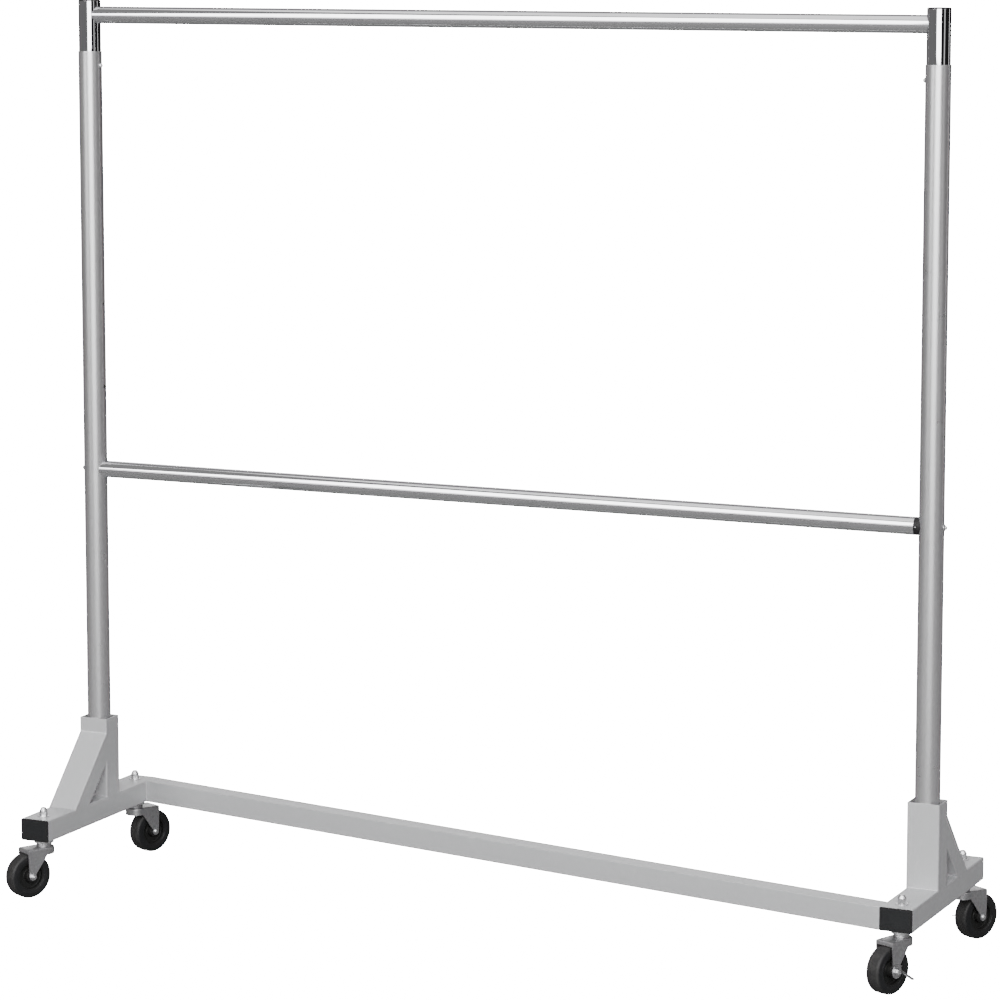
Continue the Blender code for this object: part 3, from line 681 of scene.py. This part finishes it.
def makeRiserCap(side):
    node = f"riser_cap_{side}"
    low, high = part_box(node)
    cfg, radius, spot = riserCap, extent(node).x / 2, middle(node)
    flange, plug = high.z - cfg["flange"], radius - cfg["plugInset"]
    roof, hollow = flange - cfg["roof"], plug - cfg["hollowInset"]
    profile = softened([(0, high.z - cfg["rise"], 0), (radius - 0.002, high.z, cfg["dome"]),
                        (radius, high.z - cfg["edge"], cfg["edge"]), (radius, flange, 0.0002),
                        (plug, flange, 0), (plug - cfg["plugTaper"], low.z, 0.0005),
                        (hollow, low.z, 0.0004), (hollow, roof, 0.0008), (0, roof, 0)])
    cap = fromBm(f"riserCap_{side}", placed(lathe(profile, 72), Matrix.Translation((spot.x, spot.y, 0))))
    finishPiece(cap, finishes["black_plastic"])
    hand(cap, "top_frame", "black_plastic", node)


def copeEnd(mesh, centreX, radius, sign):                      # pulls the end ring back onto a round tube
    for v in mesh.vertices:
        if (v.co.x - centreX) * sign > -radius * 0.2:
            v.co.x += -sign * sqrt(max(radius ** 2 - v.co.y ** 2, 0))


def makeRail(node, name, body, leftRadius, rightRadius):
    low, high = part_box(node)
    radius = extent(node).z / 2
    postX = middle("upright_right").x
    start = -postX if leftRadius else low.x
    end = postX if rightRadius else high.x
    tube = roundTube(name, radius, tubes["railWall"], end - start, chromeRail)
    tube.data.transform(Matrix.Translation((start, 0, middle(node).z)) @ Matrix.Rotation(pi / 2, 4, "Y"))
    if leftRadius:
        copeEnd(tube.data, -postX, leftRadius, -1)
    if rightRadius:
        copeEnd(tube.data, postX, rightRadius, 1)
    finishPiece(tube, chromeRail)
    hand(tube, body, "chrome_tube", node)


collarShape = {"spigot": 0.0146, "edge": 0.0004, "bore": 0.0034}


def makeCollar():
    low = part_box("rail_collar")[0]
    radius, height = extent("rail_collar").z / 2, middle("rail_collar").z
    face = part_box("mid_rail")[1].x + tubes["gap"]
    post, postRadius = middle("upright_right").x, extent("upright_right").x / 2 + tubes["gap"]
    spigot, edge = collarShape["spigot"], collarShape["edge"]
    body = lathe(softened([(0, low.x, 0), (spigot, low.x, edge), (spigot, face, 0), (radius, face, edge),
                           (radius, post, 0), (0, post, 0)]), 80)
    lay = Matrix.Translation((0, 0, height)) @ Matrix.Rotation(pi / 2, 4, "Y")
    collar = fromBm("railCollar", placed(body, lay))
    saddle = placed(rod(postRadius, height - 0.05, height + 0.05, 128), Matrix.Translation((post, 0, 0)))
    bore = placed(rod(collarShape["bore"], low.x - 0.01, post, 24), lay)
    combine(collar, [saddle, bore])
    finishPiece(collar, finishes["black_plastic"])
    hand(collar, "base_frame", "black_plastic", "rail_collar")


def makeCollarPin():                                           # a small pin on the collar's front
    height = middle("rail_collar").z
    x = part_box("mid_rail")[1].x + 0.0040
    y = -sqrt((extent("rail_collar").z / 2) ** 2 - 0.002 ** 2) + 0.0002
    pin = lathe(softened([(0, 0.0010, 0), (0.0010, 0.0008, 0.0006), (0.0014, 0, 0), (0.0014, -0.002, 0),
                          (0, -0.002, 0)]), 24)
    place = Matrix.Translation((x, y, height)) @ Matrix.Rotation(pi / 2, 4, "X")
    piece = fromBm("collarPin", placed(pin, place))
    finishPiece(piece, finishes["bright_steel"])
    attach(piece, "base_frame")


for side in ends:
    makeUpright(side)
    makeRiser(side)
    makeRiserCap(side)
riserRadius = extent("riser_left").x / 2
uprightRadius = extent("upright_left").x / 2
makeRail("top_rail", "topRail", "top_frame", riserRadius, riserRadius)
makeRail("mid_rail", "midRail", "base_frame", uprightRadius, None)
makeCollar()
makeCollarPin()
print("tubes made")

# ---- bolts and screws ----
railBolt = {"flange": 0.0065, "flangeThick": 0.0013, "domeTop": 0.0034, "domeHeight": 0.0030, "tip": 0.0031,
            "tipHeight": 0.0055, "key": 0.0017}
lockScrew = {"head": 0.0046, "height": 0.0042, "key": 0.0016}


def hexKey(radius, low, high):
    return rod(radius, low, high, 6)


def laidAlong(x, z, sign):                                     # +Z turned to +X or -X, then moved to (x, z)
    return Matrix.Translation((x, 0, z)) @ Matrix.Rotation(sign * pi / 2, 4, "Y")


def makeRailBolt(side):
    node, cfg = f"rail_bolt_{side}", railBolt
    low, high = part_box(node)
    sign = ends[side]
    seat = middle(f"upright_{side}").x + sign * (uprightRadius + tubes["gap"])
    tip = low.x if sign > 0 else high.x
    profile = softened([(0, cfg["tipHeight"], 0), (cfg["tip"], cfg["tipHeight"], 0.0006),
                        (cfg["tip"], cfg["domeHeight"], 0.0003),
                        (cfg["domeTop"], cfg["domeHeight"], 0.0012),
                        (cfg["flange"], cfg["flangeThick"], 0.0008), (cfg["flange"], 0, 0.0002),
                        (0.003, 0, 0), (0.003, -abs(tip - seat), 0.0008), (0, -abs(tip - seat), 0)])
    bolt = fromBm(f"railBolt_{side}", lathe(profile, 48))
    combine(bolt, [hexKey(cfg["key"], cfg["tipHeight"] - 0.0024, cfg["tipHeight"] + 0.001)])
    bolt.data.transform(laidAlong(seat, middle(node).z, sign))
    finishPiece(bolt, finishes["bright_steel"])
    hand(bolt, "base_frame", "bright_steel", node)


def makeLockScrew(side):
    node, cfg = f"lock_screw_{side}", lockScrew
    sign = -ends[side]                                         # the head faces the middle of the rack
    seat = middle(f"upright_{side}").x + sign * (uprightRadius + tubes["gap"])
    length = extent(node).x - cfg["height"]
    profile = softened([(0, cfg["height"], 0), (cfg["head"] * 0.55, cfg["height"], 0.0012),
                        (cfg["head"], cfg["height"] * 0.35, 0.0016), (cfg["head"], 0, 0.0003),
                        (0.0027, 0, 0), (0.0027, -length, 0.0003), (0, -length, 0)])
    screw = fromBm(f"lockScrew_{side}", lathe(profile, 48))
    combine(screw, [hexKey(cfg["key"], cfg["height"] - 0.0022, cfg["height"] + 0.001)])
    screw.data.transform(laidAlong(seat, middle(node).z, sign))
    finishPiece(screw, finishes["bright_steel"])
    hand(screw, f"lock_screw_{side}_body", "bright_steel", node)


for side in ends:
    makeRailBolt(side)
    makeLockScrew(side)
print("bolts made")

# ---- casters, made once round the swivel axis at the origin with the wheel towards +X ----
caster = {"tyreHalf": 0.015, "shoulder": 0.0095, "recess": 0.0245, "hubHalf": 0.016, "web": 0.005,
          "crownTop": 0.095, "sheet": 0.0025, "front": 0.045, "skirtFoot": 0.081, "lipFoot": 0.087,
          "outer": 0.0195, "inner": 0.017, "eye": 0.0072, "bend": 0.0028, "legBack": 0.004,
          "hubRim": 0.0266, "axleHole": 0.0033, "gap": 0.0001}
axle = middle("wheel_tyre_left_front")
axleHeight = axle.z
trail = (axle.xy - middle("caster_stem_left_front").xy).length
treadRadius = extent("wheel_tyre_left_front").z / 2
barUnder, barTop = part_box("end_bar_left")[0].z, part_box("end_bar_left")[1].z


def arcPoints(centreX, centreZ, radius, start, end, count):
    return [(centreX + radius * cos(start + (end - start) * i / count),
             centreZ + radius * sin(start + (end - start) * i / count)) for i in range(count + 1)]


def tyreMesh():
    cfg, r = caster, treadRadius
    side = [(0.0262, 0.0110, 0), (0.0268, 0.0142, 0.0014), (0.0325, cfg["tyreHalf"], 0.006),
            (r - 0.0006, 0.0142, cfg["shoulder"]), (r - 0.0001, 0.0030, 0.004), (r - 0.0001, 0.0004, 0)]
    outer = softened(side, 8)
    profile = [*outer, (r, 0), *[(radius, -y) for radius, y in reversed(outer)]]
    bm = lathe([(radius, -y) for radius, y in profile], 112, closed=True)
    obj = fromBm("tyre", placed(bm, Matrix.Rotation(pi / 2, 4, "X")))
    crown = obj.data.attributes.new("crown", "FLOAT", "POINT")
    for v, item in zip(obj.data.vertices, crown.data):
        reach = sqrt(v.co.x ** 2 + v.co.z ** 2)
        item.value = max(0.0, min(1.0, (reach - r + 0.005) / 0.0045))
    return finishPiece(obj, finishes["tyre_rubber"])


def hubMesh():
    cfg = caster
    half = [(0.0064, cfg["hubHalf"], 0.0003), (0.0108, cfg["hubHalf"], 0.0008), (0.0122, cfg["web"], 0.002),
            (cfg["recess"] - 0.0004, cfg["web"], 0.002), (cfg["recess"], 0.0128, 0.0008),
            (cfg["hubRim"], 0.0136, 0.0004), (cfg["hubRim"], 0.002, 0)]
    profile = softened([*half, *[(r, -y, bend) for r, y, bend in reversed(half)]], 4, closed=True)
    obj = fromBm("hub", placed(lathe(profile, 80, closed=True), Matrix.Rotation(pi / 2, 4, "X")))
    return finishPiece(obj, finishes["wheel_core"])


def planBody(radius, front, low, high):                        # round at the back, square at the front
    outline = [*arcPoints(0, 0, radius, radians(90), radians(270), 36), (front, -radius), (front, radius)]
    return drawn([(x, y, low) for x, y in outline], 2, high)


def prism(outline, half):                                      # an (x, z) outline from y = -half to y = half
    return drawn([(x, -half, z) for x, z in outline], 1, half)


def forkMesh():
    cfg = caster
    top, under = cfg["crownTop"], cfg["crownTop"] - cfg["sheet"]
    crown = planBody(cfg["outer"], cfg["front"], cfg["skirtFoot"], top)
    folds = [e for e in crown.edges if all(abs(v.co.z - top) < 1e-6 for v in e.verts)]
    bevelEdges(crown, folds, cfg["bend"], 5)
    fork = fromBm("fork", crown)
    eye = arcPoints(trail, axleHeight, cfg["eye"], radians(152), radians(368), 20)
    roof = top - cfg["bend"] - 0.002
    outline = [(0.001, roof), (0.001, cfg["skirtFoot"]), (cfg["legBack"], cfg["skirtFoot"]), *eye,
               (cfg["front"], cfg["lipFoot"]), (cfg["front"], roof)]
    combine(fork, [prism(outline, cfg["outer"])], "UNION")
    deep, thin = 0.1, cfg["inner"]
    axleHole = placed(rod(cfg["axleHole"], -deep, deep, 32), Matrix.Rotation(pi / 2, 4, "X"),
                      Matrix.Translation((trail, 0, axleHeight)))
    inFront = cfg["front"] - cfg["sheet"]
    underLip = block((inFront - 0.002, -thin, -deep), (cfg["front"] + 0.01, thin, cfg["lipFoot"]))
    stemHole = rod(0.0054, 0, 0.2, 32)
    combine(fork, [planBody(thin, inFront, -deep, under), underLip, stemHole, axleHole])
    softEdges(fork, 0.0005, 2, 40)
    return finishPiece(fork, finishes["zinc_plate"])


def raceMesh():                                                # the swivel's lower cup, on the fork's crown
    low, high = caster["crownTop"] + caster["gap"], caster["crownTop"] + 0.0062
    outer, inner = 0.0145, 0.011
    profile = [(outer, high, 0.001), (outer, low, 0.0003), (inner, low, 0.0003), (inner, high, 0.0008)]
    profile = softened(profile, 3, closed=True)
    return finishPiece(fromBm("race", lathe(profile, 64, closed=True)), finishes["zinc_plate"])


def stemMesh():
    race, end = barUnder - caster["gap"], barTop + 0.0142
    foot = caster["crownTop"] - 0.0033
    profile = softened([(0, end, 0), (0.005, end, 0.0008), (0.005, race, 0), (0.0160, race, 0.001),
                        (0.0185, race - 0.0028, 0.0022), (0.0185, race - 0.0082, 0.0006),
                        (0.0170, race - 0.0082, 0.0005), (0.0158, race - 0.0045, 0.002),
                        (0.005, race - 0.0045, 0), (0.005, foot, 0), (0.009, foot, 0.0006),
                        (0.009, foot - 0.0014, 0.0010),
                        (0.006, foot - 0.003, 0.001), (0, foot - 0.003, 0)])
    return finishPiece(fromBm("stem", lathe(profile, 64)), finishes["bright_steel"])


def nutMesh():
    base, roof = barTop + caster["gap"], barTop + 0.0148
    dome = softened([(0, roof + 0.003, 0), (0.0044, roof + 0.0026, 0.0035), (0.0078, roof - 0.0035, 0.0035),
                     (0.0078, base + 0.0018, 0.0004), (0.0118, base + 0.0014, 0.0006),
                     (0.0118, base, 0.0002), (0.0053, base, 0), (0.0053, roof, 0), (0, roof, 0)], 5)
    nut = fromBm("nut", lathe(dome, 60))
    flats = []
    for i in range(6):                                         # six flats on the shoulder under the dome
        chip = block((0.0066, -0.006, base + 0.0022), (0.012, 0.006, roof - 0.004))
        flats.append(placed(chip, Matrix.Rotation(i * pi / 3, 4, "Z")))
    combine(nut, flats)
    return finishPiece(nut, finishes["bright_steel"])


def axleMesh():
    outside, length = caster["outer"] + caster["gap"], 2 * caster["outer"] + 0.0079
    profile = softened([(0, 0.003, 0), (0.0026, 0.0028, 0.0015), (0.0050, 0.0010, 0.0016),
                        (0.0050, 0, 0.0002), (0.003, 0, 0), (0.003, -length, 0.0008), (0, -length, 0)])
    bolt = lathe(profile, 40)
    place = Matrix.Translation((0, -outside, 0)) @ Matrix.Rotation(pi / 2, 4, "X")
    return finishPiece(fromBm("axle", placed(bolt, place)), finishes["bright_steel"])


def axleNutMesh(start):
    nut = fromBm("axleNut", rod(0.0057, 0, 0.0045, 6))
    crown = lathe(softened([(0, 0.0046, 0), (0.0048, 0.0046, 0.0004), (0.0062, 0.0033, 0),
                            (0.0062, -0.001, 0), (0, -0.001, 0)]), 48)
    combine(nut, [crown], "INTERSECT")
    combine(nut, [rod(caster["axleHole"], -0.01, 0.02, 32)])
    nut.data.transform(Matrix.Translation((0, start, 0)) @ Matrix.Rotation(-pi / 2, 4, "X"))
    return finishPiece(nut, finishes["bright_steel"])


brakeLever = {"plate": 0.012, "thick": 0.0028, "tabHalf": 0.007, "tabReach": 0.0075, "armLength": 0.030,
              "armHalf": 0.0023, "tipRadius": 0.0038, "droop": 18, "offset": -0.0115}


def leverMesh():
    cfg = brakeLever
    start = caster["outer"] + caster["gap"]
    plate = lathe(softened([(0, cfg["thick"], 0), (cfg["plate"], cfg["thick"], 0.0007),
                            (cfg["plate"], 0, 0.0004), (0, 0, 0)]), 64)
    placed(plate, Matrix.Rotation(-pi / 2, 4, "X"), Matrix.Translation((0, start, 0)))
    lever = fromBm("lever", plate)
    tab = block((-cfg["tabHalf"], start + 0.0004, cfg["plate"] - 0.0024),
                (cfg["tabHalf"], start + cfg["tabReach"], cfg["plate"] - 0.0006))
    tipCentre = cfg["armLength"] - cfg["tipRadius"]
    tip = arcPoints(0, tipCentre, cfg["tipRadius"], radians(-35), radians(215), 14)
    outline = [(-cfg["armHalf"] * 1.3, 0), (cfg["armHalf"] * 1.3, 0), *tip]
    arm = placed(prism(outline, 0.0010), Matrix.Rotation(-pi / 2, 4, "X"),
                 Matrix.Rotation(-radians(cfg["droop"]), 4, "X"),
                 Matrix.Translation((cfg["offset"], start + cfg["thick"] / 2, -0.001)))
    combine(lever, [placed(rod(caster["axleHole"], -0.05, 0.05, 32), Matrix.Rotation(pi / 2, 4, "X"))])
    for name, bm in (("tab", tab), ("arm", arm)):
        joinObject(lever, softEdges(fromBm(name, bm), 0.0003, 2, 40))
    return finishPiece(lever, finishes["zinc_plate"])


ballRing = {"count": 14, "ringRadius": 0.01285, "ballRadius": 0.0019, "lift": 0.0080}


def ballMesh():
    cfg = ballRing
    return runTree(ballTree, "balls", {"Count": cfg["count"], "Ring Radius": cfg["ringRadius"],
                                       "Ball Radius": cfg["ballRadius"],
                                       "Height": caster["crownTop"] + cfg["lift"],
                                       "Material": finishes["bright_steel"]})


def casterPlace(corner):
    stem, wheel = middle(f"caster_stem_{corner}"), middle(f"wheel_tyre_{corner}")
    heading = atan2(wheel.y - stem.y, wheel.x - stem.x)
    return Matrix.Translation((stem.x, stem.y, 0)) @ Matrix.Rotation(heading, 4, "Z")


def spread(source, name, body, node, atAxle, corner):    # a copy of a caster mesh at one corner
    lift = Matrix.Translation((trail, 0, axleHeight)) if atAxle else Matrix.Identity(4)
    mesh = source.data.copy()
    mesh.transform(casterPlace(corner) @ lift)
    piece = showIn(f"{name}_{corner}", mesh)
    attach(piece, body.format(corner))
    if node:
        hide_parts(f"{node}_{corner}")


def makeCasters():
    nutStart = caster["outer"] + caster["gap"]
    sources = {
        "stem": (stemMesh(), "base_frame", "bright_steel", "caster_stem", False),
        "stemNut": (nutMesh(), "base_frame", "bright_steel", "stem_nut", False),
        "raceBalls": (ballMesh(), "swivel_{}", "bright_steel", None, False),
        "race": (raceMesh(), "swivel_{}", "zinc_plate", None, False),
        "fork": (forkMesh(), "swivel_{}", "zinc_plate", "caster_fork", False),
        "axle": (axleMesh(), "swivel_{}", "bright_steel", "caster_axle", True),
        "hub": (hubMesh(), "wheel_{}", "wheel_core", "wheel_hub", True),
        "tyre": (tyreMesh(), "wheel_{}", "tyre_rubber", "wheel_tyre", True),
    }
    plainNut = axleNutMesh(nutStart)
    brakeNut = axleNutMesh(nutStart + 0.0033)
    lever = leverMesh()
    for corner in corners:
        for name, (source, body, slot, node, atAxle) in sources.items():
            spread(source, name, body, node, atAxle, corner)
        braked = f"brake_lever_{corner}" in frame["nodes"]
        nut = brakeNut if braked else plainNut
        spread(nut, "axleNut", "swivel_{}", "axle_nut", True, corner)
        if braked:
            spread(lever, "brakeLever", "brake_{}", "brake_lever", True, corner)
    for used in (*[entry[0] for entry in sources.values()], plainNut, brakeNut, lever):
        bpy.data.objects.remove(used)


makeCasters()
print("casters made")

# ---- CAD nodes that stay, with their finish ----
for name, obj in frame["nodes"].items():
    if not obj.hide_render:
        slot = next(s["material_slot"] for s in frame["record"]["subparts"] if s["node"] == name)
        obj.data.materials.clear()
        obj.data.materials.append(finishes[slot])
        print("kept", name)

# ---- floor, light and camera ----
# mirrorFloor, farFloor and darkFloor are floor shades that only reflections and bounce light see: a painted
# reflection, not the floor's look to the camera
studio = {"floorSize": 400, "cameraFloor": 24, "mirrorFloor": 0.19, "farFloor": 0.85, "darkFloor": 0.07,
          "cameraSky": 30, "skyLeft": 0.28, "skyRight": 0.08}


def makeFloor():
    half = studio["floorSize"] / 2
    bm = bmesh.new()
    rim = ((-half, -half), (half, -half), (half, half), (-half, half))
    bm.faces.new([bm.verts.new((x, y, 0)) for x, y in rim])
    floor = fromBm("floor", bm)
    mat = bpy.data.materials.new("floor")
    mat.use_nodes = True
    nodes = mat.node_tree.nodes
    nodes.remove(nodes["Principled BSDF"])
    wire = Wire(mat.node_tree)
    seen = wire.add("ShaderNodeLightPath", output="Is Camera Ray")
    pale = wire.add("ShaderNodeBsdfDiffuse", None, {"Color": (0.85, 0.85, 0.85, 1)})
    glow = wire.add("ShaderNodeEmission", None, {"Color": (1, 1, 1, 1), "Strength": studio["cameraFloor"]})
    both = wire.add("ShaderNodeAddShader", None, {0: pale, 1: glow})
    spot = wire.add("ShaderNodeTexCoord", output="Object")
    # painted reflection: rays other than camera rays see a darker floor, dark near the rack, pale far off and
    # darkest towards +X, which paints the dark bands reflected in the chrome and satin tubes
    side = spot.add("ShaderNodeSeparateXYZ", None, {"Vector": spot}, "X")
    away = spot.add("ShaderNodeVectorMath", {"operation": "LENGTH"}, {0: spot}, 1)
    near, far, dark = [(studio[key],) * 3 for key in ("mirrorFloor", "farFloor", "darkFloor")]
    shade = tint(mask(side, 2.0, 16.0), tint(mask(away, 14.0, 34.0), near, far), dark)
    dull = wire.add("ShaderNodeBsdfDiffuse", None, {"Color": shade})
    mixed = wire.add("ShaderNodeMixShader", None, {0: seen, 1: dull, 2: both})
    wire.feed(nodes["Material Output"].inputs["Surface"], mixed)
    floor.data.materials.append(mat)


def makeSky():
    world = bpy.data.worlds.new("studio")
    bpy.context.scene.world = world
    world.use_nodes = True
    nodes = world.node_tree.nodes
    background = nodes["Background"]
    wire = Wire(world.node_tree)
    seen = wire.add("ShaderNodeLightPath", output="Is Camera Ray")
    way = wire.add("ShaderNodeTexCoord", output="Generated")
    side = way.add("ShaderNodeSeparateXYZ", None, {"Vector": way}, "X")
    level = mask(side, -0.2, 0.5) * (studio["skyRight"] - studio["skyLeft"]) + studio["skyLeft"]
    wire.feed(background.inputs["Strength"], seen * studio["cameraSky"] + (1 - seen) * level)
    background.inputs["Color"].default_value = (1, 1, 1, 1)


# per lamp: azimuth (0 in front, 90 at +X), distance, height of its centre, width, height, strength, tilt
lamps = {
    "key": (23, 7.5, 4.72, 6.2, 7.2, 27.0, -18),
    "railKey": (-25, 7.5, 4.80, 3.4, 5.6, 22.0, -12),
    "railLow": (-25, 7.5, 0.85, 3.4, 0.6, 9.0, 0),
    "low": (24, 7.8, 0.65, 5.6, 1.2, 10.0, 0),
    "overhead": (24, 0.5, 6.5, 7.0, 5.0, 4.2, -90),
    "rightStrip": (124, 7.0, 3.0, 0.35, 6.0, 8.0, 0),
    "rightSide": (74, 8.0, 3.0, 1.4, 6.0, 2.2, 0),
    "rightHigh": (80, 7.0, 4.9, 3.0, 3.2, 8.0, -28),
    "rearFill": (205, 8.0, 4.2, 5.0, 4.0, 6.0, -22),
}


def panel(name, azimuth, distance, centreHeight, width, height, strength, tilt):
    light = bpy.data.lights.new(name, "AREA")
    light.shape = "RECTANGLE"
    light.size = width
    light.size_y = height
    light.energy = strength * width * height
    obj = bpy.data.objects.new(name, light)
    bpy.context.scene.collection.objects.link(obj)
    turn = radians(azimuth)
    obj.location = (sin(turn) * distance, -cos(turn) * distance, centreHeight)
    obj.rotation_euler = (radians(90 + tilt), 0, turn)
    obj.visible_camera = False


cameraView = {"place": (2.833, -6.0875, 1.829), "turn": 24.832, "pitch": 7.275, "lens": 133.0,
              "shift": -0.10}


def makeCamera():
    data = bpy.data.cameras.new("camera")
    data.lens = cameraView["lens"]
    data.sensor_width = 36
    data.shift_y = cameraView["shift"]
    data.clip_end = 1000
    obj = bpy.data.objects.new("camera", data)
    bpy.context.scene.collection.objects.link(obj)
    obj.location = cameraView["place"]
    obj.rotation_euler = (radians(90 - cameraView["pitch"]), 0, radians(cameraView["turn"]))
    bpy.context.scene.camera = obj


makeFloor()
makeSky()
for name, values in lamps.items():
    panel(name, *values)
makeCamera()
print("studio made")
